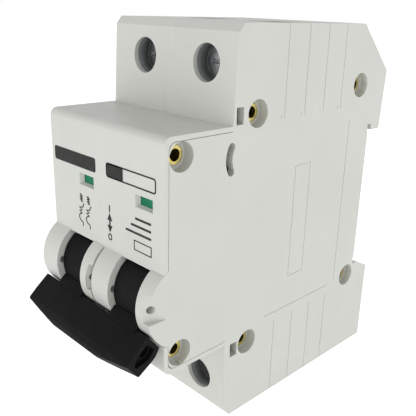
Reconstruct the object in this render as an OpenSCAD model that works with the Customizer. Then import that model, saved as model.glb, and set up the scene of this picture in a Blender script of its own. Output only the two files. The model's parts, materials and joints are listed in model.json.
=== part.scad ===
// Two-pole miniature circuit breaker for a 35 mm top-hat rail, shown switched off.
// +X runs across the poles, +Y points back towards the rail and +Z is up.
// The origin is the centre of the face that rests on the rail.
// Side-view outlines are drawn as [y, z] points and extruded along X.

/* [Casing] */
// Width of one pole
pole_w = 18; // [17.6:0.1:18.4]
// Height of the front section that shows through a panel cut-out
front_h = 45; // [44.6:0.1:45.4]
// Overall height over the terminal shoulders
total_h = 80.6; // [80:0.2:82]
// Distance from the rail face to the front face
front_depth = 61.7; // [61.4:0.1:62.2]
// Distance from the rail face to the foot of the terminal shoulders
shoulder_depth = 45.8; // [45.4:0.1:46]
// How far the foot reaches behind the rail face
foot_depth = 6.4; // [6:0.1:7]
// Thickness of the casing walls
wall = 1.7; // [1.5:0.1:1.8]

/* [Rail] */
// Half the height of the recess that takes the rail
rail_half = 17.75; // [17.6:0.05:17.9]
// Half the height of the face that rests on the rail
seat_half = 16; // [15:0.5:16]

/* [Handle] */
// Angle of the handle below the horizontal when it is off
handle_droop = 39; // [38:0.5:40]
// Radius of the handle's drum
drum_r = 7.3; // [7.2:0.1:7.6]
// Radius of the ears beside the drum
ear_r = 8.6; // [8.4:0.1:8.6]
// Width of the slot in the front face
slot_w = 8.6; // [8.4:0.1:8.8]
// Length of the bar that ties the two handles
bar_w = 34.8; // [34:0.2:35]

/* [Terminals] */
// Height of the terminal screws above and below the rail centre
terminal_z = 33; // [32.6:0.1:33.4]
// Radius of the screwdriver access holes
access_r = 3.55; // [3.5:0.05:3.7]
// Thread radius of the terminal screws
thread_r = 2.5; // [2.5:0.1:2.6]

/* [Hidden] */
$fn = 48;
eps = 0.01;
run_gap = 0.05;     // radial clearance of a pin that turns
poles = [0, 1];
ends = [1, -1];     // upper and lower terminal

cover_t = 1.6;      // thickness of the side covers
base_t = 2.6;       // thickness of the base's own side wall
rim = 0.9;          // rim of the base around the cover, on the front section
rim_gap = 0.12;
shoulder_top = 45;  // depth of the shoulders at their far ends
hook_back = 5.5;
lip_y = 1.3;        // front of the lip that grips the rail
lip_z = 16.4;
corner_r = 1.5;
top = total_h / 2;
half_front = front_h / 2;

axis_x = 10;        // centre of the mechanism, from the left side of its pole
handle_c = [-56.7, -9];
carrier_c = [-45.5, -9.53];
trip_c = [-41.7, 16.4];
coil_c = [-33, 8.5];
slot_r = 8.45;           // the handle's opening in the front wall
lug_r = 3.49;
lug_angle = 231.2;
tube_end = -40;          // back of the tubes that lead to the terminal screws
window_z = [8.7, 11.1];
window_wall = 0.9;       // thickness of the front wall behind which the indicators slide
ear_gap = 0.3;           // how far the ears stand back from the seam between the poles
link_len = 8.43;
link_angle = 30;
crank = [-6.01, 1.96];   // hole for the link, from the carrier's pivot
contact_swing = 24.1;    // the contact arm is drawn closed and swung back by this
strap_y = -32;           // front of the copper straps in the terminals
trip_link_r = 4.9;       // the common trip pin's distance from the trip pivot
contact_reach = 17;      // from the carrier's pivot to where the contacts meet

boss_r = 3;              // bosses around the rivets
cover_boss = 1.2;        // how far the cover's bosses reach in to meet the base's
rivet_r = 1.55;
rivet_gap = 0.03;
rivet_bore_r = 1.1;
rivet_flange = [1.75, 0.55];  // radius and thickness of the rolled ends
counterbore_r = 2.7;
counterbore_depth = 2.3;
rivet_points = [[-58, 18.8], [-39.2, 24.2], [-5.1, 27.2], [-58, -18.8], [-39.2, -24.2], [-2.9, -20]];

// ---------- helpers ----------

function pole_x(p) = (p - 1) * pole_w;
function centre_x(p) = pole_x(p) + axis_x;
function polar(r, a) = [r * cos(a), r * sin(a)];
function arc(c, r, from, to, n = 5) = [for (i = [0:n]) c + polar(r, from + (to - from) * i / n)];

module along_x(x, w) {
  translate([x, 0, 0]) rotate([90, 0, 90]) linear_extrude(w) children();
}

module rod_x(x, w, p, r) {
  along_x(x, w) translate(p) circle(r);
}

module rod_y(y, len, x, z, r) {
  translate([x, y, z]) rotate([-90, 0, 0]) cylinder(h = len, r = r);
}

module block(low, high) {
  translate(low) cube(high - low);
}

// Straight 2D bar with round ends
module bar2d(a, b, r) {
  d = b - a;
  translate(a) circle(r);
  translate(b) circle(r);
  translate(a) rotate(atan2(d[1], d[0])) translate([0, -r]) square([norm(d), 2 * r]);
}

// Helix of round wire about +Z, closed at both ends
module coil(r, wire, turns, pitch, steps = 16) {
  n = turns * steps;
  sides = 6;
  points = [for (i = [0:n], j = [0:sides - 1])
    let (a = 360 * i / steps, b = 360 * j / sides, d = r + wire * cos(b))
    [d * cos(a), d * sin(a), pitch * i / steps + wire * sin(b)]];
  skin = [for (i = [0:n - 1], j = [0:sides - 1])
    let (k = (j + 1) % sides)
    [i * sides + j, i * sides + k, (i + 1) * sides + k, (i + 1) * sides + j]];
  first = [for (j = [sides - 1:-1:0]) j];
  last = [for (j = [0:sides - 1]) n * sides + j];
  polyhedron(points, concat(skin, [first, last]));
}

// The same helix laid along X
module coil_x(x, p, r, wire, turns, pitch) {
  translate([x, p[0], p[1]]) rotate([0, 90, 0]) coil(r, wire, turns, pitch);
}

// ---------- casing ----------

// Side view of the casing; the front section is drawn smaller by inset
function outline(inset) =
  let (zf = half_front - inset, yf = -front_depth + inset + corner_r)
  concat(
    [[-shoulder_depth, zf]],
    arc([yf, zf - corner_r], corner_r, 90, 180),
    arc([yf, corner_r - zf], corner_r, 180, 270),
    [[-shoulder_depth, -zf], [-shoulder_top, 1.5 - top], [1.3 - shoulder_top, -top]],
    [[foot_depth, -top], [foot_depth, -20], [1.6, -rail_half]],
    [[-0.3, -rail_half], [-0.3, -seat_half], [0, -seat_half], [0, seat_half], [-0.3, seat_half]],
    [[-0.3, rail_half], [lip_y, rail_half], [lip_y, lip_z], [hook_back - 0.8, lip_z]],
    [[hook_back, 30], [-hook_back, top], [1.3 - shoulder_top, top], [-shoulder_top, top - 1.5]]
  );

// The hollow inside the casing, one wall thickness in
function hollow() =
  let (zf = half_front - wall, zt = top - wall)
  [
    [-shoulder_depth + wall, zf], [-front_depth + wall, zf], [-front_depth + wall, -zf],
    [-shoulder_depth + wall, -zf], [-shoulder_top + wall, -zt], [-wall, -zt],
    [-wall, 21], [-hook_back - 1, zt], [-shoulder_top + wall, zt]
  ];

module ear2d(r) {
  intersection() {
    translate(handle_c) circle(r);
    translate([-front_depth - 10, -half_front]) square([10 + wall, front_h]);
  }
}

// Ramped pocket in the outer side of a cover's ear
module ear_pocket(x) {
  depth = 1.7;
  translate([x, 0, -10.6]) linear_extrude(5.2)
    polygon([[1, 0.5 - front_depth], [0, 0.5 - front_depth], [-depth, -front_depth - 3.3],
             [-depth, -front_depth - 8], [1, -front_depth - 8]]);
}

// Sets an ear back from the seam between the poles
module seam_gap(x) {
  block([x, -front_depth - 10, -half_front], [x + ear_gap + eps, -front_depth, 0]);
}

// Opening that narrows towards the indicator, from its left and lower sides
module window(cx) {
  left = cx - 0.1;
  right = left + 5;
  front = -front_depth - eps;
  back = window_wall - front_depth + eps;
  intersection() {
    translate([0, 0, window_z[0]]) linear_extrude(window_z[1] - window_z[0])
      polygon([[left, front], [right, front], [right, back], [left + 0.5, back]]);
    along_x(left, 5)
      polygon([[front, window_z[0]], [front, window_z[1]], [back, window_z[1]], [back, window_z[0] + 0.35]]);
  }
}

// Hole for a handle lock, through both ears
module lock_hole(x) {
  rod_x(x, 9, [-63.8, -8.3], 0.8);
}

// Curved slot with round ends that the common trip pin swings in
module trip_slot(x, w) {
  mean = trip_link_r - 0.1;
  half_w = 0.85;
  start = 151;
  end = 209;
  along_x(x, w) polygon(concat(
    arc(trip_c, mean + half_w, start, end, 8),
    arc(trip_c + polar(mean, end), half_w, end + 30, end + 150, 4),
    arc(trip_c, mean - half_w, end, start, 8),
    arc(trip_c + polar(mean, start), half_w, start + 210, start + 330, 4)
  ));
}

// Slots that an auxiliary contact's latches hook into
module latch_slots(x, w) {
  block([x, -45, 22.6], [x + w, -43.1, 25.8]);
  block([x, -44.2, -26], [x + w, -42.2, -22.9]);
}

module rivet_holes(x, w, r) {
  for (p = rivet_points) rod_x(x, w, p, r);
}

module wire_entry(x, s) {
  block([x - 4.5, -30.6, s > 0 ? top - 4 : -top - 1], [x + 4.5, -22.8, s > 0 ? top + 1 : 4 - top]);
}

module pole_base(p) {
  x0 = pole_x(p);
  cx = centre_x(p);
  cover_x = x0 + pole_w - cover_t;
  color("gainsboro") difference() {
    union() {
      difference() {
        along_x(x0, pole_w - cover_t) polygon(outline(0));
        along_x(x0 + base_t, pole_w) polygon(hollow());
      }
      // rim that frames the cover on the front section
      along_x(cover_x - eps, cover_t + eps) difference() {
        polygon(outline(0));
        polygon(outline(rim));
        translate([-shoulder_depth, -top - 1]) square([60, total_h + 2]);
      }
      along_x(x0, cx - slot_w / 2 - x0) ear2d(ear_r);
      intersection() {
        rivet_holes(x0 + base_t - eps, pole_w - cover_t - cover_boss - base_t + eps, boss_r);
        along_x(x0, pole_w) polygon(outline(0));
      }
      // bearing boss for the handle and bosses for the carrier and trip pivots
      rod_x(x0 + base_t - eps, cx - slot_w / 2 - x0 - base_t, handle_c, 2.3);
      rod_x(x0 + base_t - eps, 1.6, carrier_c, 1.9);
      rod_x(x0 + base_t - eps, 3, trip_c, 1.9);
      // shelves between the mechanism and the terminals, with a gap for each strap
      difference() {
        for (s = ends, part = [[-43.6, -34], [-29.5, -1]])
          block([x0 + base_t - eps, part[0], s > 0 ? 20.2 : -21.4], [cover_x, part[1], s > 0 ? 21.4 : -20.2]);
        rivet_holes(cover_x - cover_boss, pole_w, boss_r);
      }
      // tubes that guide a screwdriver to the terminal screws
      tube_front = wall - shoulder_depth - eps;
      for (s = ends) rod_y(tube_front, tube_end - tube_front, cx, s * terminal_z, access_r + 0.8);
      // guides either side of the indicator flag
      for (dx = [-1.1, 5.4])
        block([cx + dx, -front_depth + wall - eps, 2], [cx + dx + 0.5, -front_depth + wall + 1.6, 15.4]);
    }
    // front opening for the handle, and the place of the cover's ear
    rod_x(cx - slot_w / 2, slot_w, handle_c, slot_r);
    along_x(cx + slot_w / 2 - eps, 20) ear2d(ear_r + 0.06);
    window(cx);
    // recess behind the window that the indicator slides in
    block([cx - 0.6, -front_depth + window_wall, 3.9], [cx + 5.4, -front_depth + wall + eps, 15.4]);
    if (p > 0) seam_gap(x0 - eps);
    lock_hole(x0 - 1);
    rivet_holes(x0 - 1, pole_w + 1, rivet_r + rivet_gap);
    if (p == 0) rivet_holes(x0 - 1, 1 + counterbore_depth, counterbore_r);
    if (p == 1) rivet_holes(x0 + pole_w - counterbore_depth, pole_w, counterbore_r);
    rod_x(x0 + 1.6, 8, handle_c, 1.01);
    rod_x(x0 + 1.6, 4, carrier_c, 1.01);
    rod_x(x0 + 1.6, 6, trip_c, 0.81);
    trip_slot(x0 - 1, base_t + 1.5);
    latch_slots(x0 - 1, base_t + 2);
    for (s = ends) {
      rod_y(-shoulder_depth - 1, tube_end + shoulder_depth + 1.2, cx, s * terminal_z, access_r);
      wire_entry(cx, s);
    }
    // channel for the sliding rail clip
    block([cx - 3.9, 1.4, -top - 1], [cx + 3.9, 5.1, -rail_half + 2]);
  }
  // stud that the clip's spring stands on
  color("gainsboro") block([cx - 1.5, 2, -38.3], [cx + 1.5, 5.1 + eps, -37.3]);
}

module pole_cover(p) {
  x0 = pole_x(p) + pole_w - cover_t;
  side = pole_x(p) + pole_w;
  ear_x = centre_x(p) + slot_w / 2;
  last = p == 1;
  color("whitesmoke") difference() {
    union() {
      along_x(x0, cover_t) polygon(outline(rim + rim_gap));
      along_x(ear_x, side - ear_x) ear2d(ear_r);
      intersection() {
        rivet_holes(x0 - cover_boss, cover_boss + eps, boss_r);
        along_x(x0 - 2, 3) polygon(hollow());
      }
      rod_x(ear_x + 0.1, x0 - ear_x, handle_c, 2.3);
      rod_x(x0 - 1.6, 1.6 + eps, carrier_c, 1.9);
      rod_x(x0 - 3, 3 + eps, trip_c, 1.9);
    }
    ear_pocket(side);
    if (!last) seam_gap(side - ear_gap);
    lock_hole(ear_x - 1);
    rivet_holes(x0 - 3, 6, rivet_r + rivet_gap);
    if (last) rivet_holes(side - counterbore_depth, 5, counterbore_r);
    rod_x(ear_x - 1, side - ear_x, handle_c, 1.01);
    rod_x(x0 - 4, 4.6, carrier_c, 1.01);
    rod_x(x0 - 4, 4.6, trip_c, 0.81);
    trip_slot(x0 - 1, 4);
    latch_slots(x0 - 1, 4);
    if (last) cover_marks(side);
  }
}

// Shallow lines on the outer cover
module cover_marks(x) {
  depth = 0.1;
  line = 0.4;
  for (i = [0:3]) {
    y = -31.7 + 6.35 * i;
    block([x - depth, y, 22.7], [x + 1, y + line, top + 1]);
    block([x - depth, y + 1, -top - 1], [x + 1, y + 1 + line, -22.4]);
    rod_x(x - depth, 1, [y - 0.9, 23], 0.3);
  }
  along_x(x - depth, 1) difference() {
    translate([-26.9, -13]) square([5.4, 25.4]);
    translate([-26.9 + line, -13 + line]) square([5.4 - 2 * line, 25.4 - 2 * line]);
  }
  block([x - depth, -34, -20.4], [x + 1, -10.9, -20.05]);
  block([x - depth, -8.4, -19.6], [x + 1, -8.1, 19.9]);
}

module casing_rivets() {
  left = pole_x(0) + counterbore_depth;
  right = pole_x(1) + pole_w - counterbore_depth;
  thick = rivet_flange[1];
  color("goldenrod") for (p = rivet_points) difference() {
    union() {
      rod_x(left - thick, right - left + 2 * thick, p, rivet_r);
      for (x = [left - thick, right]) rod_x(x, thick, p, rivet_flange[0]);
    }
    rod_x(left - 2, right - left + 4, p, rivet_bore_r);
  }
}

// ---------- handle ----------

// Places shapes drawn as [along the handle, across it]
module handle_frame() {
  translate(handle_c) rotate(180 + handle_droop) children();
}

// Places shapes drawn as [across the poles, along the handle] and raised across the handle
module handle_plan() {
  translate([0, handle_c[0], handle_c[1]]) rotate([180 + handle_droop, 0, 0]) children();
}

module toggle(p) {
  cx = centre_x(p);
  w = slot_w - 0.2;
  color([0.12, 0.12, 0.13]) difference() {
    union() {
      along_x(cx - w / 2, w) {
        handle_frame() intersection() {
          circle(drum_r);
          translate([-0.5, -10]) square([10, 20]);
        }
        translate(handle_c) circle(2.4);
      }
      along_x(cx - w / 2, w) handle_frame()
        polygon([[7, -2.4], [9.6, -2.3], [9.6, -2.1], [8.85, -2.1], [8.85, 2], [7, 2]]);
      along_x(cx - 2.8, 5.6) handle_frame() translate([7, -1.2]) square([5.4, 2.4]);
    }
    along_x(cx - 1.5, 3) translate(handle_c) circle(6.2);
    rod_x(cx - w, 2 * w, handle_c, 1 + run_gap);
    rod_x(cx - w, 2 * w, handle_c + polar(lug_r, lug_angle), 0.6 + run_gap);
  }
}

module handle_tie_bar() {
  section = [
    [8.9, -2.05], [12.4, -1.95], [14.8, -1.75], [16, -1.2], [16.7, -0.4], [16.7, 1.1],
    [16.1, 1.8], [15, 2.3], [11.7, 2.7], [10.6, 2.7], [8.9, 2.05]
  ];
  // the grip reaches furthest in the middle and tapers to both ends
  plan = [
    [-bar_w / 2, 8], [bar_w / 2, 8], [bar_w / 2, 15.2], [6.5, 16.8], [-6.5, 16.8], [-bar_w / 2, 15.2]
  ];
  pocket = [[9.8, -1.1], [13.3, -0.95], [14.3, -0.2], [14.3, 0.5], [11.6, 1.7], [9.8, 1.3]];
  color([0.1, 0.1, 0.11]) difference() {
    intersection() {
      along_x(-bar_w / 2, bar_w) handle_frame() polygon(section);
      handle_plan() translate([0, 0, -5]) linear_extrude(10) polygon(plan);
    }
    for (p = poles) along_x(centre_x(p) - 2.83, 5.66) handle_frame() translate([7, -1.23]) square([5.45, 2.46]);
    for (p = poles) along_x(centre_x(p) - slot_w / 2 + 0.05, slot_w - 0.1)
      handle_frame() translate([8, -4]) square([1.63, 2]);
    for (x = [-bar_w / 2 - 1, bar_w / 2 - 1]) along_x(x, 2) handle_frame() polygon(pocket);
    for (x = [-bar_w / 2 - 1, bar_w / 2 - 5]) along_x(x, 6) handle_frame() translate([11.2, 0.1]) circle(1.1);
  }
}

module handle_pivot_pins() {
  color("silver") for (p = poles) {
    rod_x(pole_x(p) + 1.7, centre_x(p) - 1.7 - pole_x(p) - 1.7, handle_c, 1);
    rod_x(centre_x(p) + 1.7, pole_w - axis_x - 2.8, handle_c, 1);
  }
}

// Torsion springs around the handle bosses, with one leg each
module handle_return_springs() {
  for (p = poles) color("darkgray") {
    coil_x(pole_x(p) + base_t + 0.4, handle_c, 2.8, 0.22, 4, 0.55);
    rod_x(pole_x(p) + base_t + 0.1, 0.8, handle_c + [2.8, 0], 0.22);
  }
}

module u_link(p) {
  cx = centre_x(p);
  near = handle_c + polar(lug_r, lug_angle);
  far = near + polar(link_len, link_angle);
  color("silver") {
    along_x(cx - 0.9, 1.8) bar2d(near, far, 0.75);
    rod_x(cx - 3.3, 6.6, near, 0.6);
    rod_x(cx - 2.7, 5.4, far, 0.6);
  }
}

// ---------- contacts ----------

// Places a shape drawn with the contacts closed, pivot at the origin, into its open position
module contact_frame() {
  translate(carrier_c) rotate(-contact_swing) children();
}

// Two cheeks joined by a bar under the contact arm
module contact_carrier(p) {
  cx = centre_x(p);
  elbow = [5, 1.6];
  bar = [5.2, -0.9];
  color([0.25, 0.2, 0.18]) difference() {
    union() {
      for (x = [cx - 2.8, cx + 1.6]) along_x(x, 1.2) {
        bar2d(carrier_c, carrier_c + crank, 1.5);
        contact_frame() {
          bar2d([0, 0], elbow, 1.6);
          bar2d(elbow, bar, 0.8);
        }
        translate(carrier_c) circle(2.5);
      }
      along_x(cx - 2.8, 5.6) contact_frame() translate(bar) circle(0.6);
    }
    rod_x(cx - 5, 10, carrier_c, 1 + run_gap);
    rod_x(cx - 5, 10, carrier_c + crank, 0.76);
  }
}

module moving_contact(p) {
  cx = centre_x(p);
  color("peru") difference() {
    along_x(cx - 1.55, 3.1) contact_frame() union() {
      circle(2);
      polygon([[-0.5, -2], [3, -0.8], [15.5, 4.3], [19, 4.9], [19, 6.5], [14.5, 6.5], [2, 2]]);
    }
    rod_x(cx - 5, 10, carrier_c, 1 + run_gap);
  }
}

module moving_contact_tip(p) {
  color("silver") along_x(centre_x(p) - 1.55, 3.1) contact_frame() translate([15.3, 6.5]) square([3.4, 1]);
}

// Bent plate: two arms outside the carrier, joined by the bar that the trip lever holds
module latch(p) {
  cx = centre_x(p);
  left = cx - 4;
  right = cx + 2.85;
  arm_w = 1.1;
  color("darkgray") difference() {
    union() {
      for (x = [left, right]) along_x(x, arm_w) {
        bar2d(carrier_c, carrier_c + [0, 7], 1.2);
        translate(carrier_c) circle(2.2);
      }
      along_x(left, right + arm_w - left) translate(carrier_c + [-1.2, 7]) square([3, 1.6]);
    }
    rod_x(cx - 5, 10, carrier_c, 1 + run_gap);
  }
}

module carrier_pins() {
  color("silver") for (p = poles) rod_x(pole_x(p) + 1.7, pole_w - 2.8, carrier_c, 1);
}

module contact_springs() {
  for (p = poles) color("darkgray") {
    coil_x(centre_x(p) + 4.4, carrier_c, 2.4, 0.25, 3, 0.6);
    rod_x(centre_x(p) + 4.3, 0.9, carrier_c + [2.4, 0], 0.25);
  }
}

contact_y = carrier_c[0] + contact_reach;
riser_y = -23.6;                       // front of the riser that joins the strap to the coil
strap_z = carrier_c[1] + 7.5 + 1.05;   // underside of the fixed contact's strap

module fixed_contacts() {
  color("peru") for (p = poles) {
    cx = centre_x(p);
    block([cx - 3, contact_y - 2.4, strap_z], [cx + 3, -6, strap_z + 1.2]);
    block([cx - 3, riser_y, strap_z + 1.1], [cx + 4.8, riser_y + 1.2, coil_c[1] + 0.9]);
  }
}

module fixed_contact_tips() {
  color("silver") for (p = poles)
    block([centre_x(p) - 1.6, contact_y - 1.8, strap_z - 1], [centre_x(p) + 1.6, contact_y + 1.8, strap_z]);
}

// ---------- arc chute ----------

plate_gap = 1.75;
plate_count = 9;
chute_low = -18;

module arc_chute_plates() {
  for (p = poles, i = [0:plate_count - 1]) color("slategray")
    translate([centre_x(p), 0, chute_low + 0.6 + plate_gap * i]) linear_extrude(0.8)
      polygon([[-5.5, -21.5], [-2.8, -21.5], [0, -13], [2.8, -21.5], [5.5, -21.5], [5.5, -6], [-5.5, -6]]);
}

module arc_chute_walls() {
  for (p = poles, x = [-6.2, 5.55]) color("tan")
    block([centre_x(p) + x, -22, chute_low], [centre_x(p) + x + 0.65, -5.5, chute_low + plate_gap * plate_count]);
}

module lower_arc_runners() {
  color("peru") for (p = poles)
    block([centre_x(p) - 2.5, -24, chute_low - 1.4], [centre_x(p) + 2.5, -6.3, chute_low - 0.6]);
}

// ---------- magnetic trip ----------

bobbin_len = 13.6;
bobbin_y = coil_c[0] - bobbin_len / 2;
winding_r = 4;
plunger_r = 1.9;

module trip_coils() {
  for (p = poles) color("chocolate") {
    translate([centre_x(p), bobbin_y + 1.5, coil_c[1]]) rotate([-90, 0, 0]) coil(winding_r - 0.6, 0.6, 8, 1.3, 18);
    rod_y(bobbin_y + 11.8, riser_y - bobbin_y - 11.8, centre_x(p) + 3.4, coil_c[1], 0.6);
  }
}

module coil_bobbins() {
  for (p = poles) color("beige") difference() {
    union() {
      rod_y(bobbin_y, bobbin_len, centre_x(p), coil_c[1], 2.7);
      for (y = [bobbin_y, bobbin_y + bobbin_len - 0.8]) rod_y(y, 0.8, centre_x(p), coil_c[1], 3.9);
    }
    rod_y(bobbin_y - 1, bobbin_len + 2, centre_x(p), coil_c[1], plunger_r + 0.2);
    rod_y(bobbin_y + bobbin_len - 1.5, 3, centre_x(p) + 3.4, coil_c[1], 0.65);
  }
}

module coil_yokes() {
  front = bobbin_y - 1.2;
  back = bobbin_y + bobbin_len;
  low = 2.3;
  for (p = poles) color("lightsteelblue") difference() {
    union() {
      block([centre_x(p) - 3.6, front, low], [centre_x(p) + 3.6, back + 1.2, low + 1.2]);
      for (y = [front, back]) block([centre_x(p) - 3.6, y, low], [centre_x(p) + 3.6, y + 1.2, 13]);
    }
    rod_y(front - 1, 3, centre_x(p), coil_c[1], 1.52);
    rod_y(back - 1, 3, centre_x(p), coil_c[1], plunger_r + 0.2);
    rod_y(back - 1, 3, centre_x(p) + 3.4, coil_c[1], 0.65);
  }
}

core_len = 4;
core_gap = 2.6;          // between the core and the plunger at rest; the spring takes up the last 1 mm
push_rod_r = 0.65;
push_rod_tip = -43.1;

module fixed_cores() {
  for (p = poles) color("dimgray") difference() {
    union() {
      rod_y(bobbin_y, core_len, centre_x(p), coil_c[1], plunger_r);
      rod_y(bobbin_y - 1.2, 1.2 + eps, centre_x(p), coil_c[1], 1.5);
    }
    rod_y(bobbin_y - 2, core_len + 3, centre_x(p), coil_c[1], push_rod_r + 0.08);
  }
}

// Iron plunger with the push rod that reaches the trip lever through the core
module plunger(p) {
  back = bobbin_y + core_len + core_gap;
  color("dimgray") {
    rod_y(back, 5, centre_x(p), coil_c[1], plunger_r);
    rod_y(push_rod_tip, back - push_rod_tip + eps, centre_x(p), coil_c[1], push_rod_r);
  }
}

// Return springs around the push rods, drawn as long as they are when compressed
module plunger_springs() {
  for (p = poles) color("darkgray")
    translate([centre_x(p), bobbin_y + core_len + 0.2, coil_c[1]]) rotate([-90, 0, 0]) coil(1.2, 0.15, 2, 0.32, 14);
}

// ---------- trip lever ----------

module trip_lever(p) {
  cx = centre_x(p);
  color([0.75, 0.75, 0.7]) difference() {
    union() {
      along_x(cx - 2, 4) {
        translate(trip_c) circle(1.9);
        bar2d(trip_c, trip_c + [-trip_link_r, 0], 1.1);
        bar2d(trip_c + [-3.4, -1], [-45.9, 1.8], 0.7);
      }
      block([cx - 6, -46.6, 1.2], [cx + 2, -45.2, 2.4]);
    }
    rod_x(cx - 5, 10, trip_c, 0.8 + run_gap);
    rod_x(cx - 5, 10, trip_c - [trip_link_r, 0], 0.52);
  }
}

module common_trip_pin() {
  left = centre_x(0) - 2;
  color("silver") rod_x(left, pole_x(1) + pole_w - cover_t - 0.4 - left, trip_c - [trip_link_r, 0], 0.5);
}

module trip_pivot_pins() {
  color("silver") for (p = poles) rod_x(pole_x(p) + 1.7, pole_w - 2.8, trip_c, 0.8);
}

// ---------- thermal trip ----------

bracket_t = 1.2;
bracket_z = -18.7;       // top of the bracket's arm, where the strip stands
screw_p = [4.6, -40.2];  // calibration screw: from the pole's left side, and its depth

module bimetal_strips() {
  color("rosybrown") for (p = poles)
    block([pole_x(p) + 3.2, -43, bracket_z], [pole_x(p) + 5.8, -42.2, 2]);
}

// Angle that carries the strip and comes down through the shelf to the lower terminal
module bimetal_brackets() {
  low = bracket_z - bracket_t;
  for (p = poles) color("peru") difference() {
    union() {
      block([centre_x(p) - 3.5, strap_y, -38.4], [centre_x(p) + 3.5, strap_y + bracket_t, bracket_z]);
      block([pole_x(p) + 3.2, -43, low], [centre_x(p) + 3.5, strap_y + bracket_t, bracket_z]);
    }
    translate([pole_x(p) + screw_p[0], screw_p[1], low - 1]) cylinder(h = bracket_t + 2, r = 0.85);
  }
}

module calibration_screws() {
  head_z = bracket_z + 1.2;
  color("silver") for (p = poles) translate([pole_x(p) + screw_p[0], screw_p[1], 0]) {
    translate([0, 0, bracket_z - bracket_t - 0.25]) cylinder(h = head_z - bracket_z + bracket_t + 0.25, r = 0.8);
    translate([0, 0, head_z - eps]) cylinder(h = 1, r = 1.5);
  }
}

// U-shaped braid from the bimetal to the root of the contact arm
module flexible_braids() {
  braid_r = 0.9;
  z = -14.3;
  for (p = poles) {
    a = pole_x(p) + 4.8;
    b = centre_x(p);
    bend = (b - a) / 2;
    color("chocolate") {
      rod_y(-42.2, 3.2, a, z, braid_r);
      rod_y(-42.2, 3.2, b, z, braid_r);
      translate([(a + b) / 2, -39, z]) rotate_extrude(angle = 180) translate([bend, 0]) circle(braid_r);
    }
  }
}

// ---------- terminals ----------

module upper_terminal_straps() {
  color("peru") for (p = poles)
    block([centre_x(p) - 3.5, strap_y, coil_c[1] + winding_r + 0.05], [centre_x(p) + 3.5, strap_y + 1.2, 38]);
}

// Box clamp that the terminal screw draws towards the front
module cage(p, s) {
  cx = centre_x(p);
  color("lightsteelblue") difference() {
    block([cx - 5.8, -35.6, s * terminal_z - 4.5], [cx + 5.8, -21.2, s * terminal_z + 4.5]);
    block([cx - 4.6, -33.9, s * terminal_z - 5], [cx + 4.6, -22.4, s * terminal_z + 5]);
    rod_y(-36, 3, cx, s * terminal_z, thread_r);
  }
}

module terminal_screw(p, s) {
  cx = centre_x(p);
  z = s * terminal_z;
  head_y = -41.6;
  head = 1.8;
  color("silver") difference() {
    union() {
      rod_y(head_y, head, cx, z, access_r - 0.15);
      rod_y(head_y + head - eps, strap_y - 0.1 - head_y - head, cx, z, thread_r - 0.08);
    }
    for (a = [0, 90]) translate([cx, head_y, z]) rotate([0, a, 0]) cube([5, 2.4, 0.9], center = true);
  }
}

// ---------- indicator and rail clip ----------

module indicator_flag(p) {
  cx = centre_x(p);
  y = -front_depth + window_wall;
  color("seagreen") block([cx - 0.5, y + 0.1, 7.8], [cx + 5.3, y + 0.8, 15.2]);
}

module rail_clip(p) {
  cx = centre_x(p);
  color("whitesmoke") difference() {
    along_x(cx - 3.6, 7.2)
      polygon([[1.7, 0.6 - top], [4.8, 0.6 - top], [4.8, -18.6], [3.4, -16.6], [2.3, -16.2], [1.7, -16.2]]);
    block([cx - 2.2, 0, -38.6], [cx + 2.2, 9, -25]);
  }
}

module clip_spring(p) {
  color("darkgray") translate([centre_x(p), 3.3, -37]) coil(1.15, 0.25, 8, 1.46, 14);
}

// ---------- nodes ----------

pole_base(0);  // pole_1_base
pole_base(1);  // pole_2_base
pole_cover(0);  // pole_1_cover
pole_cover(1);  // pole_2_cover
casing_rivets();
handle_tie_bar();
handle_pivot_pins();
handle_return_springs();
carrier_pins();
contact_springs();
fixed_contacts();
fixed_contact_tips();
arc_chute_plates();
arc_chute_walls();
lower_arc_runners();
trip_coils();
coil_bobbins();
coil_yokes();
fixed_cores();
plunger_springs();
common_trip_pin();
trip_pivot_pins();
bimetal_strips();
bimetal_brackets();
calibration_screws();
flexible_braids();
upper_terminal_straps();
for (p = poles) {
  n = p + 1;
  toggle(p);
  u_link(p);
  contact_carrier(p);
  moving_contact(p);
  moving_contact_tip(p);
  latch(p);
  plunger(p);
  trip_lever(p);
  cage(p, 1);
  cage(p, -1);
  terminal_screw(p, 1);
  terminal_screw(p, -1);
  indicator_flag(p);
  rail_clip(p);
  clip_spring(p);
}
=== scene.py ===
"""Looks for a two-pole circuit breaker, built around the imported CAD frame.

Lengths are in metres, except for the outlines of the print, which are drawn in millimetres.
"""
import json
import math

import bmesh
import bpy
from mathutils import Matrix, Vector


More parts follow.
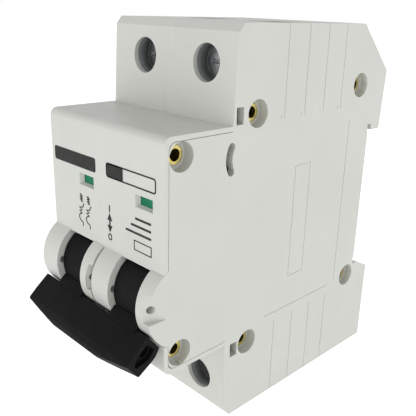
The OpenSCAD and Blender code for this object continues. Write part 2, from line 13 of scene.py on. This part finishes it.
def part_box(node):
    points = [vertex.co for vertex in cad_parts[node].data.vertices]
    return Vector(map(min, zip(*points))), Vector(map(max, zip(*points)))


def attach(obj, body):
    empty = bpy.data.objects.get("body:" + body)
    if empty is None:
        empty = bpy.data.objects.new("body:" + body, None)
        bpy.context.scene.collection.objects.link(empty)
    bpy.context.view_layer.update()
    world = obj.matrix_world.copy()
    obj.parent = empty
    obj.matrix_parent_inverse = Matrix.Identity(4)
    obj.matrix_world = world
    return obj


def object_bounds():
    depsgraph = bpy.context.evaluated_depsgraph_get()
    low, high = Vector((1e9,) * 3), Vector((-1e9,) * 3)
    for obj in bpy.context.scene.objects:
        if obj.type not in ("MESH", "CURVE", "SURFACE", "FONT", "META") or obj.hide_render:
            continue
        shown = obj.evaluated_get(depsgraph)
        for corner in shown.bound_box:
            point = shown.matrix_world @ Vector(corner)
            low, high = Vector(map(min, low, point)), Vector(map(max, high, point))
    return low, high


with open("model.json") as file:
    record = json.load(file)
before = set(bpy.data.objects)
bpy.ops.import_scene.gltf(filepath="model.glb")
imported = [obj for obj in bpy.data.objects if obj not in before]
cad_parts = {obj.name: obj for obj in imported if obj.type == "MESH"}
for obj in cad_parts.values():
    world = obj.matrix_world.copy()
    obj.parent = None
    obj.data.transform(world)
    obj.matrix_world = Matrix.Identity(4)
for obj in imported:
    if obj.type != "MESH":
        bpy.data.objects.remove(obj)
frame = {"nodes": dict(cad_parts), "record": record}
cad_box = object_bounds()

MM = 0.001
NODES = frame["nodes"]
BOTTOM = cad_box[0].z
FRONT_Y = -61.7 * MM       # front face, which carries the print
SHOULDER_Y = -45.8 * MM    # faces with the screwdriver holes


# ---------- materials ----------

class Shader:
    """A Principled material and the few node recipes that the finishes share."""

    def __init__(self, name, color, roughness, metallic=0.0):
        self.material = bpy.data.materials.new(name)
        self.material.use_nodes = True
        self.tree = self.material.node_tree
        self.bsdf = self.tree.nodes["Principled BSDF"]
        self.bsdf.inputs["Base Color"].default_value = (*color, 1)
        self.bsdf.inputs["Roughness"].default_value = roughness
        self.bsdf.inputs["Metallic"].default_value = metallic
        self.place = self.node("ShaderNodeTexCoord").outputs["Object"]

    def node(self, kind):
        """Adds a node of the given type."""
        return self.tree.nodes.new(kind)

    def link(self, a, b):
        self.tree.links.new(a, b)

    def noise(self, size, detail=4.0, stretch=(1, 1, 1)):
        """Noise whose features are about size across."""
        mapping = self.node("ShaderNodeMapping")
        mapping.inputs["Scale"].default_value = stretch
        self.link(self.place, mapping.inputs["Vector"])
        noise = self.node("ShaderNodeTexNoise")
        noise.inputs["Scale"].default_value = 1 / size
        noise.inputs["Detail"].default_value = detail
        self.link(mapping.outputs["Vector"], noise.inputs["Vector"])
        return noise.outputs["Fac"]

    def spread(self, value, low, high, start=0.3, end=0.7):
        """Maps value from start..end to low..high."""
        ramp = self.node("ShaderNodeMapRange")
        for socket, number in zip(("From Min", "From Max", "To Min", "To Max"), (start, end, low, high)):
            ramp.inputs[socket].default_value = number
        self.link(value, ramp.inputs["Value"])
        return ramp.outputs["Result"]

    def mix(self, factor, a, b):
        """Blends two colours; each is a colour or another node's output."""
        mix = self.node("ShaderNodeMix")
        mix.data_type = "RGBA"
        self.link(factor, mix.inputs["Factor"])
        for socket, value in ((mix.inputs[6], a), (mix.inputs[7], b)):
            if isinstance(value, tuple):
                socket.default_value = (*value, 1)
            else:
                self.link(value, socket)
        return mix.outputs[2]

    def edges(self, radius):
        """1 on sharp edges, falling to 0 on flat faces."""
        bevel = self.node("ShaderNodeBevel")
        bevel.samples = 4
        bevel.inputs["Radius"].default_value = radius
        normal = self.node("ShaderNodeNewGeometry").outputs["Normal"]
        dot = self.node("ShaderNodeVectorMath")
        dot.operation = "DOT_PRODUCT"
        self.link(bevel.outputs["Normal"], dot.inputs[0])
        self.link(normal, dot.inputs[1])
        return self.spread(dot.outputs["Value"], 1, 0, 0.8, 0.995)

    def bump(self, height, depth):
        """Raises the surface by up to depth where height is 1."""
        bump = self.node("ShaderNodeBump")
        bump.inputs["Distance"].default_value = depth
        self.link(height, bump.inputs["Height"])
        self.link(bump.outputs["Normal"], self.bsdf.inputs["Normal"])


def moulded(name, color, varied, edge_wear_and_highlight, roughness, shine=0.4, grain=0.22 * MM, depth=0.012 * MM):
    """Spark-eroded moulded plastic: slow colour drift, fine grain, and sharp edges lightened partly by
    rubbed wear and partly as a painted edge highlight.
    """
    s = Shader(name, color, roughness)
    s.bsdf.inputs["Specular IOR Level"].default_value = shine
    drift = s.mix(s.spread(s.noise(14 * MM), 0, 1), color, varied)
    # Sharp edges are lightened towards the edge colour: partly rubbed wear, partly a painted edge highlight.
    edge_wear_and_highlight_mask = s.node("ShaderNodeMath")
    edge_wear_and_highlight_mask.operation = "MULTIPLY"
    s.link(s.edges(0.3 * MM), edge_wear_and_highlight_mask.inputs[0])
    s.link(s.spread(s.noise(1.6 * MM), 0.1, 0.8), edge_wear_and_highlight_mask.inputs[1])
    s.link(s.mix(edge_wear_and_highlight_mask.outputs["Value"], drift, edge_wear_and_highlight), s.bsdf.inputs["Base Color"])
    s.link(s.spread(s.noise(3 * MM), roughness - 0.06, roughness + 0.08), s.bsdf.inputs["Roughness"])
    s.bump(s.noise(grain, detail=2), depth)
    return s.material


def metal(name, color, tarnish, roughness, stretch=(1, 1, 1), scratch=0.35 * MM):
    """Metal with drawn or brushed lines and dull patches."""
    s = Shader(name, color, roughness, metallic=1.0)
    patches = s.spread(s.noise(1.8 * MM), 0, 1)
    s.link(s.mix(patches, color, tarnish), s.bsdf.inputs["Base Color"])
    lines = s.noise(scratch, detail=3, stretch=stretch)
    s.link(s.spread(lines, roughness - 0.08, roughness + 0.14), s.bsdf.inputs["Roughness"])
    s.bump(lines, 0.006 * MM)
    return s.material


def indicator_paint():
    """Green lower half, red upper half, so the window shows red once the flag drops."""
    green, light_green, red = (0.004, 0.15, 0.07), (0.008, 0.2, 0.095), (0.5, 0.015, 0.015)
    green_share = 0.56
    low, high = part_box("indicator_flag_1")
    change = low.z + green_share * (high.z - low.z)
    blur = 0.02 * MM
    s = Shader("indicator", green, 0.4)
    s.bsdf.inputs["Specular IOR Level"].default_value = 0.15
    split = s.node("ShaderNodeSeparateXYZ")
    s.link(s.place, split.inputs[0])
    above = s.spread(split.outputs["Z"], 0, 1, change - blur, change + blur)
    mottled = s.mix(s.spread(s.noise(1.2 * MM), 0, 1), green, light_green)
    s.link(s.mix(above, mottled, red), s.bsdf.inputs["Base Color"])
    s.link(s.spread(s.noise(0.8 * MM), 0.34, 0.5), s.bsdf.inputs["Roughness"])
    s.bump(s.noise(0.3 * MM), 0.006 * MM)
    return s.material


def ink():
    """Pad-printed ink, a little thin in places."""
    full, thinned = (0.022, 0.023, 0.021), (0.032, 0.033, 0.03)
    s = Shader("ink", full, 0.55)
    s.bsdf.inputs["Specular IOR Level"].default_value = 0.15
    thin = s.spread(s.noise(0.35 * MM), 0, 1, 0.45, 0.8)
    s.link(s.mix(thin, full, thinned), s.bsdf.inputs["Base Color"])
    s.link(s.spread(s.noise(0.9 * MM), 0.5, 0.65), s.bsdf.inputs["Roughness"])
    s.bump(s.noise(0.25 * MM), 0.004 * MM)
    return s.material


def backdrop():
    """White paper that glows a little, so that it stays pale under the object."""
    s = Shader("floor", (0.9, 0.9, 0.9), 0.8)
    s.bsdf.inputs["Emission Color"].default_value = (1, 1, 1, 1)
    s.bsdf.inputs["Emission Strength"].default_value = 0.55
    s.link(s.spread(s.noise(60 * MM), 0.74, 0.86), s.bsdf.inputs["Roughness"])
    return s.material


# name, colour, drifted colour, colour of the sharp edges (rubbed wear plus painted edge highlight),
# roughness, then shine where it differs
CASING = moulded("casing", (0.565, 0.572, 0.537), (0.54, 0.548, 0.512), (0.68, 0.68, 0.65), 0.42)
WHITE = moulded("white_plastic", (0.6, 0.6, 0.575), (0.55, 0.55, 0.52), (0.7, 0.7, 0.68), 0.45)
BLACK = moulded("black_plastic", (0.0065, 0.0067, 0.007), (0.009, 0.0092, 0.0095),
                (0.018, 0.018, 0.019), 0.6, shine=0.07)
# Dark grey of the liners in the screwdriver holes: painted shade standing in for the shade deep in the
# holes.
SHADE_LINER = moulded("shade_liner", (0.13, 0.14, 0.14), (0.1, 0.108, 0.11), (0.17, 0.18, 0.18), 0.45, shine=0.3)
BROWN = moulded("brown_plastic", (0.09, 0.06, 0.045), (0.12, 0.08, 0.06), (0.2, 0.16, 0.13), 0.5, shine=0.2)
FIBRE = moulded("fibre", (0.42, 0.31, 0.17), (0.34, 0.25, 0.13), (0.55, 0.45, 0.3), 0.8, shine=0.2,
                grain=0.5 * MM, depth=0.03 * MM)

# name, colour, tarnished colour, roughness; stretch sets which way the lines run
BRASS = metal("brass", (0.78, 0.68, 0.27), (0.55, 0.46, 0.15), 0.24)
STEEL = metal("steel", (0.6, 0.61, 0.62), (0.42, 0.43, 0.45), 0.32, stretch=(4, 1, 4))
IRON = metal("iron", (0.3, 0.3, 0.31), (0.2, 0.19, 0.19), 0.5)
WIRE = metal("spring_steel", (0.5, 0.5, 0.52), (0.36, 0.36, 0.38), 0.3, stretch=(3, 3, 1))
COPPER = metal("copper", (0.8, 0.42, 0.26), (0.55, 0.27, 0.16), 0.34, stretch=(1, 5, 1))
SILVER = metal("silver", (0.82, 0.82, 0.8), (0.62, 0.61, 0.58), 0.26)

INDICATOR = indicator_paint()
INK = ink()

FINISHES = {
    "casing": CASING, "black_plastic": BLACK, "brown_plastic": BROWN, "white_plastic": WHITE,
    "brass": BRASS, "steel": STEEL, "iron": IRON, "spring_steel": WIRE, "copper": COPPER,
    "silver": SILVER, "fibre": FIBRE, "indicator": INDICATOR,
}

# width of the small round that each finish has on its edges
ROUNDS = {"casing": 0.22 * MM, "black_plastic": 0.3 * MM, "white_plastic": 0.2 * MM, "brass": 0.07 * MM}
PLAIN_ROUND = 0.06 * MM


# ---------- the CAD nodes ----------

def round_edges(obj, width):
    """Joins the split corners, rounds the sharp edges and keeps the flats flat."""
    weld = obj.modifiers.new("weld", "WELD")
    weld.merge_threshold = 0.002 * MM
    bevel = obj.modifiers.new("round", "BEVEL")
    bevel.width = width
    bevel.segments = 2
    bevel.limit_method = "ANGLE"
    bevel.angle_limit = math.radians(38)
    bevel.miter_outer = "MITER_ARC"
    normals = obj.modifiers.new("normals", "WEIGHTED_NORMAL")
    normals.keep_sharp = True


def finish_nodes():
    """Gives every node its finish, and rounds the edges of all but the wound wire."""
    for part in frame["record"]["subparts"]:
        obj = NODES[part["node"]]
        finish = part["material_slot"]
        obj.data.materials.clear()
        obj.data.materials.append(FINISHES[finish])
        if finish != "spring_steel" and part["node"] != "trip_coils":
            round_edges(obj, ROUNDS.get(finish, PLAIN_ROUND))


def piece(name, mesh, material):
    """Adds a visual piece that is fixed to the casing."""
    obj = bpy.data.objects.new(name, mesh)
    bpy.context.scene.collection.objects.link(obj)
    obj.data.materials.append(material)
    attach(obj, "casing")


# ---------- print on the front ----------

PRINT_THICKNESS = 0.05 * MM


def print_shape(name, outer, inner=None):
    """Prints between two outlines of (x, z) points in millimetres, or all of outer without an inner."""
    bm = bmesh.new()
    depths = (FRONT_Y, FRONT_Y - PRINT_THICKNESS)
    outlines = (outer, inner) if inner else (outer,)
    layers = [[[bm.verts.new((x * MM, y, z * MM)) for x, z in line] for line in outlines] for y in depths]
    count = len(outer)
    for i in range(count):
        k = (i + 1) % count
        for back, front in zip(*layers):
            bm.faces.new((back[i], back[k], front[k], front[i]))
        if inner:
            for layer in layers:
                bm.faces.new((layer[0][i], layer[0][k], layer[1][k], layer[1][i]))
    if not inner:
        for layer in layers:
            bm.faces.new(layer[0])
    bmesh.ops.recalc_face_normals(bm, faces=bm.faces)
    mesh = bpy.data.meshes.new(name)
    bm.to_mesh(mesh)
    bm.free()
    piece(name, mesh, INK)


def rounded(left, low, right, high, radius, steps=5):
    """Outline of a rectangle with round corners."""
    points = []
    corners = ((right, high, 0), (left, high, 90), (left, low, 180), (right, low, 270))
    for x, z, start in corners:
        cx = x - math.copysign(radius, x - (left + right) / 2)
        cz = z - math.copysign(radius, z - (low + high) / 2)
        for i in range(steps + 1):
            a = math.radians(start + 90 * i / steps)
            points.append((cx + radius * math.cos(a), cz + radius * math.sin(a)))
    return points


def oval(x, z, rx, rz, count=32):
    """Outline of an upright oval."""
    turns = [2 * math.pi * i / count for i in range(count)]
    return [(x + rx * math.cos(a), z + rz * math.sin(a)) for a in turns]


def frame_print(name, left, low, right, high, radius, line):
    """Prints a rectangle's border, line wide."""
    outer = rounded(left, low, right, high, radius)
    inner = rounded(left + line, low + line, right - line, high - line, max(radius - line, 0.05))
    print_shape(name, outer, inner)


def stroke(name, points, width):
    """Prints a line through (x, z) points, mitred at its bends."""
    line = [Vector(p) for p in points]
    left, right = [], []
    for i, p in enumerate(line):
        before = (p - line[i - 1]).normalized() if i else (line[1] - p).normalized()
        after = (line[i + 1] - p).normalized() if i < len(line) - 1 else before
        tangent = (before + after).normalized()
        side = Vector((-tangent.y, tangent.x))
        reach = width / 2 / max(side.dot(Vector((-before.y, before.x))), 0.5)
        left.append(p + side * reach)
        right.append(p - side * reach)
    print_shape(name, left + right[::-1])


def labels():
    """Empty label shapes, given by their left, low, right and high edges, and plain lines for the rating."""
    print_shape("label_dark", rounded(-16.9, 12.2, -2.3, 15.0, 0.5))
    frame_print("label_frame", 1.2, 12.3, 15.8, 15.1, 0.6, 0.28)
    print_shape("label_fill", rounded(1.25, 12.35, 6.4, 15.05, 0.5))
    frame_print("small_frame", 9.4, 0.3, 14.5, 2.3, 0.1, 0.19)
    right, height, pitch = 14.4, 0.42, 1.4
    for i, left in enumerate((9.9, 8.6, 7.0)):
        low = 6.3 - pitch * i
        print_shape(f"rating_line_{i + 1}", rounded(left, low, right, low + height, 0.1))


def switch_marks(x):
    """On bar, double arrow and off ring, the usual marks for a switch."""
    half_bar = 0.14
    print_shape("mark_on", rounded(x - half_bar, 5.5, x + half_bar, 6.9, 0.05))
    low, high = 1.4, 5.3
    half_shaft, half_head, head_length = 0.19, 0.76, 1.45
    low_head, high_head = low + head_length, high - head_length
    arrow = [
        (x, high), (x - half_head, high_head), (x - half_shaft, high_head), (x - half_shaft, low_head),
        (x - half_head, low_head), (x, low), (x + half_head, low_head), (x + half_shaft, low_head),
        (x + half_shaft, high_head), (x + half_head, high_head),
    ]
    print_shape("mark_arrow", arrow)
    ring_z, ring_line = 0.52, 0.25
    rx, rz = 0.61, 0.7
    print_shape("mark_off", oval(x, ring_z, rx, rz), oval(x, ring_z, rx - ring_line, rz - ring_line))


def breaker_symbol(index, x):
    """Circuit symbol of one pole: contact, overload zigzag and magnetic bow."""
    width = 0.22
    strokes = [
        [(0, 6.8), (0, 5.1)],
        [(-0.5, 6.7), (0.5, 6.2)],
        [(-0.5, 6.2), (0.5, 5.7)],
        [(-0.5, 5.7), (0.5, 5.2)],
        [(0.85, 4.9), (0.3, 4.0)],
        [(0.3, 4.0), (-0.8, 3.8), (0.15, 3.4), (-0.8, 3.1), (0.1, 2.7)],
        [(0.1, 2.7), (-0.7, 2.4), (-0.95, 2.05), (-0.95, 1.65), (-0.6, 1.15), (0.3, 0.8)],
        [(0.3, 0.8), (0.3, 0.0)],
    ]
    for i, points in enumerate(strokes):
        stroke(f"symbol_{index}_{i + 1}", [(x + px, pz) for px, pz in points], width)


# ---------- inside the terminal holes ----------

def tube_mesh(name, centre_x, centre_z, inner, outer, front, back, count=48):
    """Tube along Y with open ends, between the front and back depths."""
    bm = bmesh.new()
    turns = [2 * math.pi * i / count for i in range(count)]
    rings = []
    for radius, y in ((inner, front), (outer, front), (outer, back), (inner, back)):
        ring = [(centre_x + radius * math.cos(a), y, centre_z + radius * math.sin(a)) for a in turns]
        rings.append([bm.verts.new(point) for point in ring])
    for a, b in ((0, 1), (1, 2), (2, 3), (3, 0)):
        for i in range(count):
            k = (i + 1) % count
            face = bm.faces.new((rings[a][i], rings[a][k], rings[b][k], rings[b][i]))
            face.smooth = a in (1, 3)
    bmesh.ops.recalc_face_normals(bm, faces=bm.faces)
    mesh = bpy.data.meshes.new(name)
    bm.to_mesh(mesh)
    bm.free()
    return mesh


def shade_liners():
    """Thin dark liner behind the plastic lip of each screwdriver hole: painted shade that darkens the hole's
    wall.
    """
    hole_radius = 3.55 * MM
    lip, wall, gap = 1.5 * MM, 0.04 * MM, 0.02 * MM
    screw_gap = 0.1 * MM
    outer = hole_radius - gap
    for node in ("upper_screw_1", "upper_screw_2", "lower_screw_1", "lower_screw_2"):
        low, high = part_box(node)
        x, z = (low.x + high.x) / 2, (low.z + high.z) / 2
        name = node.replace("screw", "shade_liner")
        mesh = tube_mesh(name, x, z, outer - wall, outer, SHOULDER_Y + lip, low.y - screw_gap)
        piece(name, mesh, SHADE_LINER)


# ---------- studio ----------

TARGET = Vector((0, -30 * MM, 0))    # what the camera and the lights point at


def make_camera():
    """Camera to the right of the front and above it."""
    azimuth, elevation, roll = (math.radians(a) for a in (44.51, 18.52, 1.96))
    distance = 134.9 * MM
    back = Vector((math.sin(azimuth) * math.cos(elevation), -math.cos(azimuth) * math.cos(elevation),
                   math.sin(elevation)))
    right = Vector((math.cos(azimuth), math.sin(azimuth), 0))
    up = back.cross(right)
    x = right * math.cos(roll) + up * math.sin(roll)
    y = up * math.cos(roll) - right * math.sin(roll)
    data = bpy.data.cameras.new("camera")
    data.lens = 50.86
    data.sensor_width = 36
    data.shift_x = -0.031
    data.shift_y = -0.0115
    data.clip_start = 5 * MM
    data.clip_end = 10
    camera = bpy.data.objects.new("camera", data)
    turn = Matrix((x, y, back)).transposed().to_4x4()
    camera.matrix_world = Matrix.Translation(TARGET + back * distance) @ turn
    bpy.context.scene.collection.objects.link(camera)
    bpy.context.scene.camera = camera


def area_light(name, place, size, power):
    """Square soft light, size across, turned to the target."""
    data = bpy.data.lights.new(name, "AREA")
    data.size = size
    data.energy = power
    lamp = bpy.data.objects.new(name, data)
    lamp.location = place
    aim = TARGET - Vector(place)
    lamp.rotation_euler = aim.to_track_quat("-Z", "Y").to_euler()
    bpy.context.scene.collection.objects.link(lamp)


def studio_world():
    """White walls that darken towards the ceiling."""
    wall, ceiling = (1, 1, 1, 1), (0.52, 0.525, 0.52, 1)
    wall_top = 0.12
    world = bpy.data.worlds.new("studio")
    world.use_nodes = True
    nodes, links = world.node_tree.nodes, world.node_tree.links
    split = nodes.new("ShaderNodeSeparateXYZ")
    links.new(nodes.new("ShaderNodeTexCoord").outputs["Generated"], split.inputs[0])
    height = nodes.new("ShaderNodeMapRange")
    height.inputs["From Min"].default_value = wall_top
    links.new(split.outputs["Z"], height.inputs["Value"])
    shade = nodes.new("ShaderNodeMix")
    shade.data_type = "RGBA"
    shade.inputs[6].default_value = wall
    shade.inputs[7].default_value = ceiling
    links.new(height.outputs["Result"], shade.inputs["Factor"])
    links.new(shade.outputs[2], nodes["Background"].inputs["Color"])
    nodes["Background"].inputs["Strength"].default_value = 1.0
    return world


def make_studio():
    """Floor, two soft lights and the surroundings."""
    bpy.ops.mesh.primitive_plane_add(size=6, location=(0, 0, BOTTOM))
    floor = bpy.context.object
    floor.name = "floor"
    floor.data.materials.append(backdrop())
    area_light("front", (-0.12, -0.6, 0.12), 0.4, 0.5)
    area_light("side", (0.6, -0.15, 0.12), 0.4, 0.5)
    bpy.context.scene.world = studio_world()
    bpy.context.scene.view_settings.view_transform = "Standard"


make_camera()
finish_nodes()
labels()
switch_marks(1.95)
breaker_symbol(1, -7.7)
breaker_symbol(2, -5.2)
shade_liners()
make_studio()
